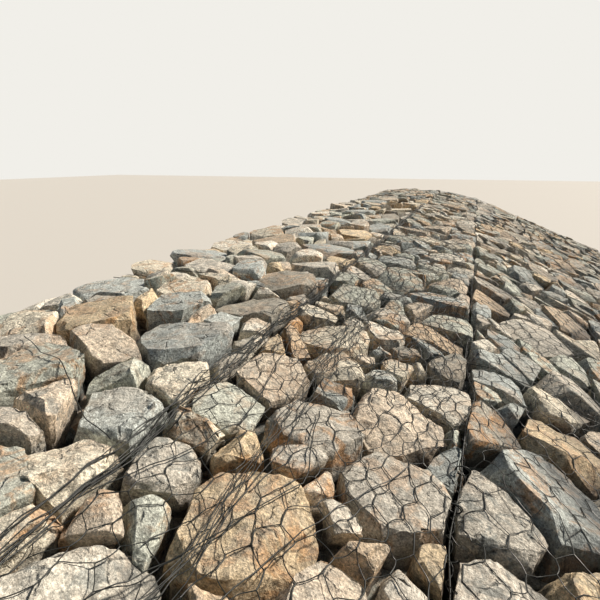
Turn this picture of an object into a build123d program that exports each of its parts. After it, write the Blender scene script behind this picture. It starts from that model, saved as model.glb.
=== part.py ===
# Gabion revetment wall: rows of stone-filled wire baskets along the crest of a bank and down its slope.
# X runs across the wall from the crest row to the toe, Y runs along the bays and Z is up.
# The origin is the middle of the flat underside. Lengths are in millimetres, angles in degrees.

import os
from math import ceil, cos, radians, sin, tan
from random import Random

from build123d import *

# Bays along the wall
bay_count = 6
bay_length = 2000.0
open_bay_count = 4

# Rows across the wall, measured along their lids
open_row_width = 1350.0
crest_row_width = 900.0
slope_row_width = 1000.0
crest_row_tilt = 11.0
slope_tilt = 21.8

# Heights: the toe stands one basket high, and the courses below a lid are as deep as a basket
toe_height = 500.0
course_depth = 500.0

# Rise of the stone fill above the straight line between two seams
heap_rise = 120.0
closed_crown = 45.0
lid_crown = 28.0

# The largest stones of a fill's top, which stand on the bed of the smaller ones
bed_depth = 110.0
stone_width = 450.0
stone_length = 500.0
stone_joint = 36.0
stone_jog = 45.0
stone_break = 75.0
stone_drop = 25.0
stone_lean = 0.12
stone_taper = 9.0
stone_root = 10.0

# Wires: the edge wires frame each basket, and the net fills the frame
edge_wire = 8.0
net_wire = 4.0
lid_edge_diameter = 16.0

# One opening of the double-twisted net, between the wires' centres
mesh_width = 100.0
mesh_height = 140.0
twist_length = 50.0

# The rows from the crest to the toe: name, width along the lid and tilt
rows = [
    ("open_row", open_row_width, 0.0),
    ("crest_row", crest_row_width, crest_row_tilt),
    ("upper_slope_row", slope_row_width, slope_tilt),
    ("middle_slope_row", slope_row_width, slope_tilt),
    ("toe_row", slope_row_width, slope_tilt),
]

wall_length = bay_count * bay_length
wall_width = sum(width * cos(radians(tilt)) for _, width, tilt in rows)
crest_height = toe_height + sum(width * sin(radians(tilt)) for _, width, tilt in rows)


class Row:
    """The section of one row of baskets, from its left seam to its right seam."""

    def __init__(self, name, left, left_height, width, tilt):
        self.name = name
        self.left = left
        self.left_height = left_height
        self.right = left + width * cos(radians(tilt))
        self.right_height = left_height - width * sin(radians(tilt))
        self.fall = tan(radians(tilt))

    def height(self, x):
        """Height of the straight line between the row's seams at x."""
        return self.left_height - (x - self.left) * self.fall

    def band(self, upper_depth, lower_depth, inset):
        """Corners of the band between two depths below the lid, drawn in by inset on every side."""
        left = self.left + inset
        right = self.right - inset
        return [
            (left, self.height(left) - upper_depth - inset),
            (left, self.height(left) - lower_depth + inset),
            (right, self.height(right) - lower_depth + inset),
            (right, self.height(right) - upper_depth - inset),
        ]

    def section(self, inset):
        """Corners of the whole section down to the underside, drawn in by inset on every side."""
        left = self.left + inset
        right = self.right - inset
        return [
            (left, self.height(left) - inset),
            (left, inset),
            (right, inset),
            (right, self.height(right) - inset),
        ]


def wall_rows():
    """Lay the rows side by side, each starting at the seam where the one before it ends."""
    laid = []
    left = -wall_width / 2
    height = crest_height
    for name, width, tilt in rows:
        row = Row(name, left, height, width, tilt)
        laid.append(row)
        left = row.right
        height = row.right_height
    return laid


def seam_y(number):
    """Position along the wall of the cross seam after the given number of bays."""
    return number * bay_length - wall_length / 2


def across(y):
    """The plane across the wall at y, with its X along the wall's X and its Y up."""
    return Plane.XZ.offset(-y)


def finish(part, name):
    """Name a finished piece and write it to its own file."""
    part.label = name
    export_step(part, f"parts/{name}.step")


def divisions(count, low, high, shift, rng):
    """Limits of a number of shares between low and high, the inner ones shifted and then jogged."""
    step = (high - low) / count
    inner = [low + step * k + shift + rng.uniform(-stone_jog, stone_jog) for k in range(1, count)]
    return [low, *inner, high]


def stone_cells(left, right, near, far, rng):
    """The shares of a fill's top that its largest stones take, laid in courses that break joint."""
    cells = []
    columns = max(1, round((right - left) / stone_width))
    lines = max(1, round((far - near) / stone_length))
    line_limits = divisions(lines, near, far, 0.0, rng)
    for line, (line_near, line_far) in enumerate(zip(line_limits, line_limits[1:])):
        limits = divisions(columns, left, right, stone_break if line % 2 else -stone_break, rng)
        for cell_left, cell_right in zip(limits, limits[1:]):
            cells.append((cell_left, cell_right, line_near, line_far))
    return cells


def stone_outline(cell, rng):
    """Corners of a stone within its share, each drawn in by an amount of its own."""
    left, right, near, far = cell
    corners = [(left, near, 1, 1), (right, near, -1, 1), (right, far, -1, -1), (left, far, 1, -1)]
    outline = []
    for x, y, inward_x, inward_y in corners:
        drawn_x = stone_joint / 2 + rng.uniform(0, stone_jog)
        drawn_y = stone_joint / 2 + rng.uniform(0, stone_jog)
        outline.append((x + inward_x * drawn_x, y + inward_y * drawn_y))
    return outline


def make_fill(row, bay, crown):
    """The stone fill of one basket: a bed of stones with the largest ones standing on it."""
    rng = Random(f"{row.name} {bay}")
    near = seam_y(bay) + edge_wire / 2
    far = seam_y(bay + 1) - edge_wire / 2
    left = row.left + edge_wire
    right = row.right - edge_wire
    half_width = (right - left) / 2
    with BuildPart() as fill:
        with BuildSketch(across(near)):
            with BuildLine():
                Polyline(
                    (left, row.height(left) - bed_depth),
                    (left, 0),
                    (right, 0),
                    (right, row.height(right) - bed_depth),
                    close=True,
                )
            make_face()
        extrude(amount=near - far)
        for cell in stone_cells(left, right, near, far, rng):
            middle_x = (cell[0] + cell[1]) / 2
            middle_y = (cell[2] + cell[3]) / 2
            offset = (middle_x - left - half_width) / half_width
            top = row.height(middle_x) - edge_wire + crown * (1 - offset**2) - rng.uniform(0, stone_drop)
            root = row.height(cell[1]) - bed_depth - stone_root
            lean_x = row.fall + rng.uniform(-stone_lean, stone_lean)
            lean_y = rng.uniform(-stone_lean, stone_lean)
            with BuildPart(mode=Mode.PRIVATE) as stone:
                with BuildSketch(Plane.XY.offset(root)):
                    Polygon(*stone_outline(cell, rng), align=None)
                extrude(amount=top - root + bed_depth, taper=stone_taper)
                cut = Plane(origin=(middle_x, middle_y, top), z_dir=(lean_x, lean_y, 1))
                split(bisect_by=cut, keep=Keep.BOTTOM)
            add(stone.part)
    finish(fill.part, f"{row.name}_fill_bay_{bay + 1}")


def end_frame(row):
    """The frame of a row's end: the edge wires round its section and across it under each course."""
    with BuildSketch(mode=Mode.PRIVATE) as frame:
        with BuildLine():
            Polyline(*row.section(0), close=True)
        make_face()
        with BuildSketch(mode=Mode.PRIVATE) as openings:
            for course in range(ceil(row.left_height / course_depth)):
                upper = course * course_depth
                with BuildLine():
                    Polyline(*row.band(upper, upper + course_depth, edge_wire / 2), close=True)
                make_face()
            with BuildLine():
                Polyline(*row.section(edge_wire), close=True)
            make_face(mode=Mode.INTERSECT)
        add(openings.sketch, mode=Mode.SUBTRACT)
    return frame.sketch


def cross_frame(row, at_left, at_right):
    """The wires of a seam across a row: one under the lid, and one down each face that stands open."""
    with BuildSketch(mode=Mode.PRIVATE) as frame:
        with BuildLine():
            Polyline(*row.band(0, edge_wire, 0), close=True)
        make_face()
        faces = []
        if at_left:
            faces.append((row.left, row.left_height))
        if at_right:
            faces.append((row.right - edge_wire, row.right_height))
        for x, height in faces:
            with Locations((x, 0)):
                Rectangle(edge_wire, height, align=(Align.MIN, Align.MIN))
    return frame.sketch


def make_basket_wires(row, first_row, last_row):
    """The edge wires of a row: a frame at each end, the cross seams, and wires along its corners."""
    with BuildPart() as wires:
        for seam in range(bay_count + 1):
            at_end = seam in (0, bay_count)
            with BuildSketch(across(seam_y(seam) - edge_wire / 2)):
                add(end_frame(row) if at_end else cross_frame(row, first_row, last_row))
            extrude(amount=-edge_wire)
        corners = [(row.left + edge_wire / 2, row.left_height - edge_wire / 2)]
        if row.left_height > course_depth + edge_wire:
            corners.append((row.left + edge_wire / 2, row.left_height - course_depth))
        if last_row:
            corners.append((row.right - edge_wire / 2, row.right_height - edge_wire / 2))
        with BuildSketch(across(seam_y(0))):
            with Locations(*corners):
                Rectangle(edge_wire, edge_wire)
        extrude(amount=-wall_length)
    finish(wires.part, f"{row.name}_basket_wires")


def net_cells(corners):
    """Centres of the net's openings that cover the box around the given corners."""
    pitch = (mesh_height + twist_length) / 2
    left = min(x for x, _ in corners)
    right = max(x for x, _ in corners)
    low = min(z for _, z in corners)
    high = max(z for _, z in corners)
    cells = []
    for line in range(ceil((high - low) / pitch) + 2):
        shift = mesh_width / 2 if line % 2 else 0.0
        for column in range(ceil((right - left) / mesh_width) + 2):
            cells.append((left + column * mesh_width - shift, low + line * pitch))
    return cells


def make_end_net(row):
    """The hexagonal net that closes the top course of a row at the near end."""
    outline = row.band(0, course_depth, edge_wire)
    half_width = (mesh_width - net_wire) / 2
    half_height = (mesh_height - net_wire) / 2
    half_twist = (twist_length - net_wire / 2) / 2
    opening = [
        (half_width, -half_twist),
        (half_width, half_twist),
        (0, half_height),
        (-half_width, half_twist),
        (-half_width, -half_twist),
        (0, -half_height),
    ]
    with BuildPart() as net:
        with BuildSketch(across(seam_y(0) + edge_wire / 2 - net_wire)):
            with BuildLine():
                Polyline(*outline, close=True)
            make_face()
            with BuildSketch(mode=Mode.PRIVATE) as openings:
                with Locations(*net_cells(outline)):
                    Polygon(*opening)
                with BuildLine():
                    Polyline(*row.band(0, course_depth, edge_wire + net_wire), close=True)
                make_face(mode=Mode.INTERSECT)
            add(openings.sketch, mode=Mode.SUBTRACT)
        extrude(amount=-net_wire)
    finish(net.part, f"{row.name}_end_net")


def make_lid_edge(row):
    """The free edge of the lid beside the open row: six wires bundled round a seventh."""
    centre = (row.right, row.right_height + lid_edge_diameter / 2)
    with BuildPart() as bundle:
        with BuildSketch(across(seam_y(0))):
            with Locations(centre):
                RegularPolygon(lid_edge_diameter / 2, 6, major_radius=False)
        extrude(amount=-open_bay_count * bay_length)
    finish(bundle.part, "lid_edge_bundle")


os.makedirs("parts", exist_ok=True)

laid_rows = wall_rows()
open_row = laid_rows[0]
for row in laid_rows:
    for bay in range(bay_count):
        if row is open_row:
            crown = heap_rise if bay < open_bay_count else closed_crown
        else:
            crown = lid_crown
        make_fill(row, bay, crown)
    make_basket_wires(row, first_row=row is open_row, last_row=row is laid_rows[-1])
    make_end_net(row)
make_lid_edge(open_row)
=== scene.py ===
# Gabion revetment wall: angular quarry stone in baskets of coated wire netting, six bays long.
# The crest's first row is open and heaped. The rows beside it are lidded and fall to the toe.
from collections import namedtuple
from math import cos, exp, inf, radians, sin, sqrt, tau
from random import Random

import bmesh
import bpy
import numpy as np
from bpy.props import FloatProperty, FloatVectorProperty, IntProperty, PointerProperty
from mathutils import Matrix, Vector, noise
from mathutils.bvhtree import BVHTree


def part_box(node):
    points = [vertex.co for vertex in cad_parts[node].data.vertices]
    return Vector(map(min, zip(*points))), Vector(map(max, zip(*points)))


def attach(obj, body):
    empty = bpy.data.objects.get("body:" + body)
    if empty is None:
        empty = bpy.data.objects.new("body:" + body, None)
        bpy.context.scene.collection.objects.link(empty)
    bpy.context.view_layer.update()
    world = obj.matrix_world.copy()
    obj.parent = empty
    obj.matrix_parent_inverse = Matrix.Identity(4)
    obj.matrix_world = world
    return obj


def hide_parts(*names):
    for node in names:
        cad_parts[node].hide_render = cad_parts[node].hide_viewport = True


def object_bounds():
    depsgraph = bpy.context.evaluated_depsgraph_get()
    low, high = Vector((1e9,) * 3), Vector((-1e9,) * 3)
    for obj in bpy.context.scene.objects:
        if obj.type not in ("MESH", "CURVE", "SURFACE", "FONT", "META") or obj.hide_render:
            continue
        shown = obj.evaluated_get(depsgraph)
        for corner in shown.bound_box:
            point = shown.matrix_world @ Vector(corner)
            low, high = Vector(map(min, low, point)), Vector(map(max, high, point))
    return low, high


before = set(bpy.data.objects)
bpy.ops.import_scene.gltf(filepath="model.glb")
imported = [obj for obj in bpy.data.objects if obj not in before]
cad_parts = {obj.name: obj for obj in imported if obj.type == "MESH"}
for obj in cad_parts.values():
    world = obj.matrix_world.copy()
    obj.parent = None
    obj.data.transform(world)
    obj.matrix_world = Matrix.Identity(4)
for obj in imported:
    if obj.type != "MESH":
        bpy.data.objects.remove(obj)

bl_info = {
    "name": "Gabion revetment wall",
    "version": (1, 0, 0),
    "blender": (4, 5, 0),
    "location": "3D View > Sidebar > Gabion",
    "description": "Dresses a gabion revetment with broken stone, draped netting and laced seams",
    "category": "Object",
}

MM = 0.001
BODY = "root"
CAD_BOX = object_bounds()

# The rows of baskets from the crest to the toe
ROW_NAMES = ("open_row", "crest_row", "upper_slope_row", "middle_slope_row", "toe_row")

# Corners of the frame that are nearer to a line than this lie on it
SNAP = 1 * MM

# A fill's bed lies deeper than this under the line between its seams, and its stones' tops less deep
BED_LEAST = 70 * MM

# A face with more than this share of its normal upwards is a stone's top
UPWARD_LEAST = 0.7

# How high a lid lies above the line between its seams, before the crown of its stones
LID_BULGE = 12 * MM


class Row:
    """One row of baskets as the frame gives it: its seams, its bays and the crown of its fill."""

    def __init__(self, name):
        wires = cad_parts[name + "_basket_wires"]
        corners = [wires.matrix_world @ vertex.co for vertex in wires.data.vertices]
        self.name = name
        self.left = min(p.x for p in corners)
        self.right = max(p.x for p in corners)
        self.left_height = max(p.z for p in corners if p.x < self.left + SNAP)
        self.right_height = max(p.z for p in corners if p.x > self.right - SNAP)
        self.fills = sorted(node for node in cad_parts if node.startswith(name + "_fill_bay_"))
        self.spans = [(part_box(node)[0].y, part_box(node)[1].y) for node in self.fills]
        self.tops = [self.tops_of(node) for node in self.fills]
        self.crowns = [max(middle.z - self.chord(middle.x) for middle, _, _ in tops) for tops in self.tops]
        across = Vector((self.right - self.left, 0, self.right_height - self.left_height))
        self.normal = across.cross(Vector((0, -1, 0))).normalized()
        if self.normal.z < 0:
            self.normal.negate()

    def chord(self, x):
        """Height of the straight line between the row's seams at x."""
        share = (x - self.left) / (self.right - self.left)
        return self.left_height + share * (self.right_height - self.left_height)

    def tops_of(self, node):
        """The tops of a fill's largest stones: (middle, normal, area), its bed left out."""
        form = bmesh.new()
        form.from_mesh(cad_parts[node].data)
        form.transform(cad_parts[node].matrix_world)
        bmesh.ops.remove_doubles(form, verts=form.verts[:], dist=SNAP / 5)
        bmesh.ops.dissolve_limit(form, angle_limit=radians(1), verts=form.verts[:], edges=form.edges[:])
        tops = []
        for face in form.faces:
            middle = face.calc_center_median()
            if face.normal.z > UPWARD_LEAST and middle.z > self.chord(middle.x) - BED_LEAST:
                tops.append((middle, face.normal.copy(), face.calc_area()))
        form.free()
        return tops

    def surface(self, x, bay):
        """Height of the fill's crowned top at x."""
        half = (self.right - self.left) / 2
        offset = (x - self.left - half) / half
        return self.chord(x) + LID_BULGE + self.crowns[bay] * max(0.0, 1 - offset * offset)


class Wall:
    """What the operators share: the rows from the frame and the pieces made so far."""

    rows = []
    top_meshes = []
    drape = None


class Materials:
    """The finishes, each made once."""

    stone = None
    wire = None


def linear(hex_colour):
    """An sRGB hex colour as linear red, green and blue."""
    channels = [int(hex_colour[i:i + 2], 16) / 255 for i in (0, 2, 4)]
    return [c / 12.92 if c <= 0.04045 else ((c + 0.055) / 1.055) ** 2.4 for c in channels]


def colour(hex_colour):
    """An sRGB hex colour as a linear colour with full alpha."""
    return (*linear(hex_colour), 1.0)


# Sizes and colours that a user would change


class StoneSettings(bpy.types.PropertyGroup):
    """The broken stones of the fill."""

    large: FloatProperty(
        name="Large stone", description="Width of the large stones", default=0.34, unit="LENGTH")
    middling: FloatProperty(
        name="Middling stone", description="Width of most stones", default=0.225, unit="LENGTH")
    small: FloatProperty(
        name="Small stone", description="Width of the stones that fill in", default=0.125, unit="LENGTH")
    gap: FloatProperty(
        name="Gap", description="Open joint between neighbouring stones", default=0.015, unit="LENGTH")
    worn_edge: FloatProperty(
        name="Worn edge", description="Width of the blunted edges", default=0.006, unit="LENGTH")
    rust: FloatVectorProperty(
        name="Rust", description="Colour of rusty patches", default=colour("c08a4e"), size=4, subtype="COLOR")
    grey: FloatVectorProperty(
        name="Grey", description="Colour of cool patches", default=colour("868b88"), size=4, subtype="COLOR")
    # A cool dark grey, painted as shade on the stones' flanks
    painted_shade: FloatVectorProperty(
        name="Painted shade", description="Colour of damp flanks", default=colour("373c42"), size=4, subtype="COLOR")
    dust: FloatVectorProperty(
        name="Dust", description="Colour of dry dust", default=colour("dad4c6"), size=4, subtype="COLOR")
    seed: IntProperty(name="Seed", description="Picks another laying of the stones", default=11)


class NetSettings(bpy.types.PropertyGroup):
    """The double-twisted netting."""

    mesh_width: FloatProperty(
        name="Mesh width", description="Opening between the twists", default=0.100, unit="LENGTH")
    mesh_height: FloatProperty(
        name="Mesh height", description="Opening from tip to tip", default=0.140, unit="LENGTH")
    twist_length: FloatProperty(
        name="Twist", description="Length of the twisted sides", default=0.050, unit="LENGTH")
    wire: FloatProperty(
        name="Wire", description="Diameter of the coated wire", default=0.0029, unit="LENGTH")
    edge_wire: FloatProperty(
        name="Edge wire", description="Diameter of the coated edge wire", default=0.0050, unit="LENGTH")
    basket_depth: FloatProperty(
        name="Basket depth", description="Depth of a course of baskets", default=0.5, unit="LENGTH")
    bridge: FloatProperty(
        name="Bridge", description="Half the width of the hollows that the net spans", default=0.07,
        unit="LENGTH")
    gather: FloatProperty(
        name="Gather", description="Share of its width that the newly laid lid is bunched to", default=0.76)
    coat: FloatVectorProperty(
        name="Coat", description="Colour of the wire's coat", default=colour("0d110f"), size=4,
        subtype="COLOR")
    coat_dust: FloatVectorProperty(
        name="Dusty coat", description="Colour of the coat under dust", default=colour("2a2f2b"), size=4,
        subtype="COLOR")
    seed: IntProperty(name="Seed", description="Picks another lie of the wires", default=5)


class StageSettings(bpy.types.PropertyGroup):
    """The camera, the lamps and the floor."""

    eye_height: FloatProperty(
        name="Eye height", description="Camera above the crest seam", default=0.75, unit="LENGTH")
    eye_offset: FloatProperty(
        name="Eye offset", description="Camera to the crest's side of the main seam", default=0.065,
        unit="LENGTH")
    eye_back: FloatProperty(
        name="Eye back", description="Camera before the near end", default=0.25, unit="LENGTH")
    heading: FloatProperty(
        name="Heading", description="Turn of the camera from the seams", default=radians(20.7),
        subtype="ANGLE")
    dip: FloatProperty(
        name="Dip", description="Camera below level", default=radians(17.3), subtype="ANGLE")
    lens: FloatProperty(name="Lens", description="Focal length in millimetres", default=27.0)
    key_strength: FloatProperty(name="Key", description="Strength of the key lamp", default=5.2)
    fill_strength: FloatProperty(name="Fill", description="Strength of the sky's light", default=0.175)
    key: FloatVectorProperty(
        name="Key colour", description="Colour of the key lamp", default=linear("fff5e8"), subtype="COLOR")
    fill: FloatVectorProperty(
        name="Fill colour", description="Colour of the sky's light", default=colour("b8cde6"), size=4,
        subtype="COLOR")
    backdrop: FloatVectorProperty(
        name="Backdrop", description="Colour behind the wall", default=colour("f1efe9"), size=4,
        subtype="COLOR")
    floor: FloatVectorProperty(
        name="Floor", description="Colour of the floor", default=colour("d6d2ca"), size=4, subtype="COLOR")


# Materials

# The kinds of node that come more than once
NOISE = "ShaderNodeTexNoise"
CELLS = "ShaderNodeTexVoronoi"
RANGE = "ShaderNodeMapRange"
MATH = "ShaderNodeMath"
VECTOR = "ShaderNodeVectorMath"
MIX = "ShaderNodeMix"
PLACE = "ShaderNodeTexCoord"
BACKGROUND = "ShaderNodeBackground"


def add_node(tree, kind, links=None, **settings):
    """Add a node. Settings name its properties, and links give its inputs a value, a socket or a node."""
    node = tree.nodes.new(kind)
    for name, value in settings.items():
        setattr(node, name, value)
    for key, value in (links or {}).items():
        if isinstance(value, bpy.types.Node):
            value = next(socket for socket in value.outputs if socket.enabled)
        if isinstance(value, bpy.types.NodeSocket):
            tree.links.new(value, node.inputs[key])
        else:
            node.inputs[key].default_value = value
    return node


def new_material(name, sockets):
    """Start a material with values on its shader's own sockets. Gives it, its tree and its shader."""
    material = bpy.data.materials.new(name)
    material.use_nodes = True
    shader = material.node_tree.nodes["Principled BSDF"]
    for socket, value in sockets.items():
        shader.inputs[socket].default_value = value
    return material, material.node_tree, shader


def stone_material(stones):
    """Broken quarry stone, rough and dry: speckled, in patches of warmer and cooler stone, dusty on top, with
    painted shade on its flanks.
    """
    own_values = {"Roughness": 0.93, "Specular IOR Level": 0.2}
    material, tree, shader = new_material("broken_quarry_stone", own_values)
    # Each point's painted shade is read here with its stone's tint and number
    tint, number, painted_shade = [add_node(tree, "ShaderNodeAttribute", attribute_name="stone_" + name)
                          for name in ("tint", "number", "painted_shade")]
    own = number.outputs["Fac"]
    shifted = add_node(tree, "ShaderNodeCombineXYZ", {"X": own, "Z": own})
    point = add_node(tree, VECTOR, {0: add_node(tree, PLACE).outputs["Object"], 1: shifted}, operation="ADD")

    # Soft patches 140 and 60 mm across, grain 14 and 6 mm across, and pits 30 mm apart
    broad, lesser, speck, grain, pits = [
        add_node(tree, NOISE, {"Vector": point, "Scale": 1 / width, "Detail": detail, "Roughness": roughness,
                               "Distortion": distortion})
        for width, detail, roughness, distortion in (
            (0.140, 6.0, 0.68, 0.9),
            (0.060, 5.0, 0.7, 0.6),
            (0.014, 4.0, 0.8, 0.0),
            (0.006, 2.0, 0.6, 0.0),
            (0.030, 3.0, 0.7, 0.4),
        )]

    # Bedding shows as streaks 2.5 mm thick and 7 to 22 mm long, turned its own way in each stone
    angle = add_node(tree, MATH, {0: own, 1: 2.3}, operation="MULTIPLY")
    turned = add_node(tree, "ShaderNodeVectorRotate",
                      {"Vector": point, "Axis": (0.3, 0.2, 1.0), "Angle": angle})
    bedding = add_node(tree, VECTOR, {0: turned, 1: (9.0, 28.0, 80.0)}, operation="MULTIPLY")
    streaks = add_node(tree, NOISE, {"Vector": bedding, "Scale": 5.0, "Detail": 3.0, "Roughness": 0.6})

    # Broken faces meet in bent lines 160 mm apart, which here and there open into cracks 5 mm wide
    bend = add_node(tree, NOISE, {"Vector": point, "Scale": 1 / 0.070, "Detail": 4.0})
    bent = add_node(tree, VECTOR, {0: bend.outputs["Color"], 1: (0.075, 0.075, 0.075), 2: point},
                    operation="MULTIPLY_ADD")
    meeting = add_node(tree, CELLS, {"Vector": bent, "Scale": 1 / 0.160}, feature="DISTANCE_TO_EDGE")
    chips = add_node(tree, CELLS, {"Vector": point, "Scale": 1 / 0.045}, feature="F1")

    # What each pattern gives: two of its values, and the amounts at the first and at the second.
    # By its lot, each stone has its own share of rusty and of blue-grey patches
    lot = add_node(tree, "ShaderNodeTexWhiteNoise", {"W": own}, noise_dimensions="1D")
    given = {}
    for name, pattern, first, second, at_first, at_second in (
        ("rusty patch", broad, 0.50, 0.58, 0.0, 0.8),
        ("rusty stone", lot, 0.35, 0.95, 0.15, 1.0),
        ("grey patch", lesser, 0.50, 0.60, 0.0, 0.85),
        ("grey stone", lot, 0.0, 0.7, 1.0, 0.3),
        ("speck", speck, 0.38, 0.62, 0.64, 1.36),
        ("streak", streaks, 0.3, 0.7, 0.76, 1.22),
        ("grain", grain, 0.36, 0.62, 0.72, 1.26),
        ("pit", pits, 0.34, 0.46, 0.55, 1.0),
        ("line", meeting, 0.0, 0.032, 1.0, 0.0),
        ("open part", lesser, 0.46, 0.58, 0.0, 1.0),
    ):
        given[name] = add_node(tree, RANGE, {"Value": pattern, "From Min": first, "From Max": second,
                                             "To Min": at_first, "To Max": at_second})

    # Amounts that hold only together: dust, for one, lies in broad patches and on what faces up
    normal = add_node(tree, "ShaderNodeNewGeometry").outputs["Normal"]
    facing = add_node(tree, "ShaderNodeSeparateXYZ", {0: normal})
    for name, first, second in (
        ("rust", given["rusty patch"], given["rusty stone"]),
        ("grey", given["grey patch"], given["grey stone"]),
        ("open", given["line"], given["open part"]),
        # The painted shade on the flanks, at most 0.78 of the way to its colour
        ("painted_shade", painted_shade.outputs["Fac"], 0.78),
        ("lying", facing.outputs["Z"], broad),
        ("chip relief", chips, 0.8),
        ("grain relief", grain, 0.35),
    ):
        given[name] = add_node(tree, MATH, {0: first, 1: second}, operation="MULTIPLY")
    given["crack"] = add_node(tree, RANGE, {"Value": given["open"], "To Min": 1.0, "To Max": 0.6})
    given["dust"] = add_node(tree, RANGE, {"Value": given["lying"], "From Min": 0.36, "From Max": 0.72,
                                           "To Min": 0.0, "To Max": 0.42})

    # The stone's own colour takes its patches, then its tone, and painted shade on its flanks and dust lie
    # over both
    shade = given["speck"]
    for name in ("streak", "grain", "pit", "crack"):
        shade = add_node(tree, MATH, {0: shade, 1: given[name]}, operation="MULTIPLY")
    skin = tint.outputs["Color"]
    for name, laid in (("rust", stones.rust), ("grey", stones.grey)):
        skin = add_node(tree, MIX, {"Factor": given[name], "A": skin, "B": laid}, data_type="RGBA")
    skin = add_node(tree, VECTOR, {0: skin, "Scale": shade}, operation="SCALE")
    # Painted shade darkens the flanks towards a cool dark grey, and dust lies over it
    for name, laid in (("painted_shade", stones.painted_shade), ("dust", stones.dust)):
        skin = add_node(tree, MIX, {"Factor": given[name], "A": skin, "B": laid}, data_type="RGBA")
    tree.links.new(skin.outputs[2], shader.inputs["Base Color"])

    # Specks, chips and grain stand out a little, and the cracks are sunk
    relief = speck
    for name, way in (("chip relief", "ADD"), ("grain relief", "ADD"), ("open", "SUBTRACT")):
        relief = add_node(tree, MATH, {0: relief, 1: given[name]}, operation=way)
    bump = add_node(tree, "ShaderNodeBump", {"Strength": 0.9, "Distance": 0.009, "Height": relief})
    tree.links.new(bump.outputs[0], shader.inputs["Normal"])
    return material


def wire_material(net):
    """Steel wire in a dark plastic coat, drawn smooth: near black, with a dull sheen and a little dust."""
    material, tree, shader = new_material("coated_steel_wire", {"Roughness": 0.42, "Specular IOR Level": 0.4})
    place = add_node(tree, PLACE).outputs["Object"]
    dust = add_node(tree, NOISE, {"Vector": place, "Scale": 1 / 0.060, "Detail": 3.0})
    amount = add_node(tree, RANGE, {"Value": dust, "From Min": 0.45, "From Max": 0.75, "To Min": 0.0,
                                    "To Max": 0.4})
    coat = add_node(tree, MIX, {"Factor": amount, "A": net.coat, "B": net.coat_dust}, data_type="RGBA")
    tree.links.new(coat.outputs[2], shader.inputs["Base Color"])
    return material


# Stones

UP = Vector((0, 0, 1))
DOWN = Vector((0, 0, -1))
OUTWARD = {
    "top": UP,
    "left": Vector((-1, 0, 0)),
    "right": Vector((1, 0, 0)),
    "near": Vector((0, -1, 0)),
    "far": Vector((0, 1, 0)),
}

# A basket whose stones stand higher than this above its seams is heaped
HEAP_LEAST = 75 * MM

# How far the stones stop behind an open face, and behind it again at random or in the deeper layer
FACE_INSET = 11 * MM
FACE_STRAY = (0 * MM, 15 * MM)
INNER_SET_BACK = (75 * MM, 110 * MM)
WALL_LEAN = radians(7)

# How far they stop before a seam, most of them and the share that stops further off, and how far past the
# seam none may reach
SEAM_STRAY = (4 * MM, 16 * MM)
SEAM_STRAY_FAR = (20 * MM, 46 * MM)
FAR_SHARE = 0.22
SEAM_REACH = 9 * MM
SEAM_LEAN = radians(15)

# How far the stones push a seam to its sides, and how many waves that makes to a metre across and along
SEAM_SWAY = 46 * MM
SWAY_WAVES = (5, 2.6)
SWAY_SEED = 0.7

# How deep the centres of both layers lie under an open face, how many tries an upright face has for each of
# the top's, and the tries for the large, middling and small stones and for those of the deeper layer
SLAB_DEPTH = 85 * MM
SKIN_DEPTH = (60 * MM, 140 * MM)
INNER_DEPTH = (270 * MM, 370 * MM)
FACE_TRIES = 2
SKIN_TRIES = (18, 150, 330)
INNER_TRIES = 80

# As shares of a stone's half width: its centre's room to a seam and to the ground, the spread of its size,
# and how near two stones may lie
SEAM_ROOM = 0.3
GROUND_ROOM = 0.4
SIZE_SPREAD = (0.85, 1.15)
NEAREST = 0.92

# The block that a stone is cut from and the neighbours that may cut it, as shares of its half width, and
# how the joints between them vary, lean and flare
BLOCK_REACH = 2.2
NEIGHBOUR_REACH = 4.4
GAP_SPREAD = (0.45, 1.35)
JOINT_LEAN = radians(9)
JOINT_FLARE = (-0.14, 0.14)

# How far the stones' tops stay under a lid, in a heap, in the heap's levelled near end and in the deeper
# layer, how they lean, and how many have a ridge
LID_DROP = (0 * MM, 36 * MM)
HEAP_DROP = (-15 * MM, 55 * MM)
FLAT_DROP = (0 * MM, 26 * MM)
INNER_DROP = (150 * MM, 200 * MM)
LID_LEAN = radians(13)
FLAT_LEAN = radians(12)
INNER_LEAN = radians(12)
RIDGE_SHARE = 0.6
FLAT_RIDGE_SHARE = 0.35
RIDGE_LEAN = (0.10, 0.40)
RIDGE_DROP = (0 * MM, 12 * MM)

# How thick the top layer's stones are, and how their undersides lean
SKIN_THICKNESS = (190 * MM, 280 * MM)
UNDER_LEAN = radians(15)

# The chips struck off a stone: how many, three of each five off the rim of its open side, how they face,
# and how much of the stone they leave
CHIPS = (8, 11)
INNER_CHIPS = 2
CHIP_ROUND = 5
RIM_CHIPS = 3
RIM_RISE = (0.55, 1.6)
FLANK_RISE = 0.2
RIM_REACH = (0.80, 0.95)
SLAB_RIM_REACH = (0.86, 0.97)
FLANK_REACH = (0.82, 0.97)

# How far a laid stone is turned, and the fewest corners of one worth keeping
TURN = radians(9)
LEAST_CORNERS = 6

# How near the camera a stone gets blunted edges, a rough skin and a fine rough skin, in metres
BLUNT_RANGE = 5.0
CLOSE_RANGE = 2.7
FINE_RANGE = 1.8

# How much the blunted edges vary, and the rough skin: its longest edges, its height, how often it is
# divided, and its waves as their number to a metre and their share of the height
WORN_SPREAD = (0.5, 1.4)
SKIN_EDGE = 40 * MM
FINE_SKIN_EDGE = 24 * MM
SKIN_HEIGHT = 12 * MM
SKIN_PASSES = 4
BROAD_WAVES = (9.0, 0.9)
LEDGE_WAVES = (17.0, 0.9)
FINE_WAVES = (46.0, 0.4)
LEDGE_PLACE = Vector((7.0, 3.0, 1.0))
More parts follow.
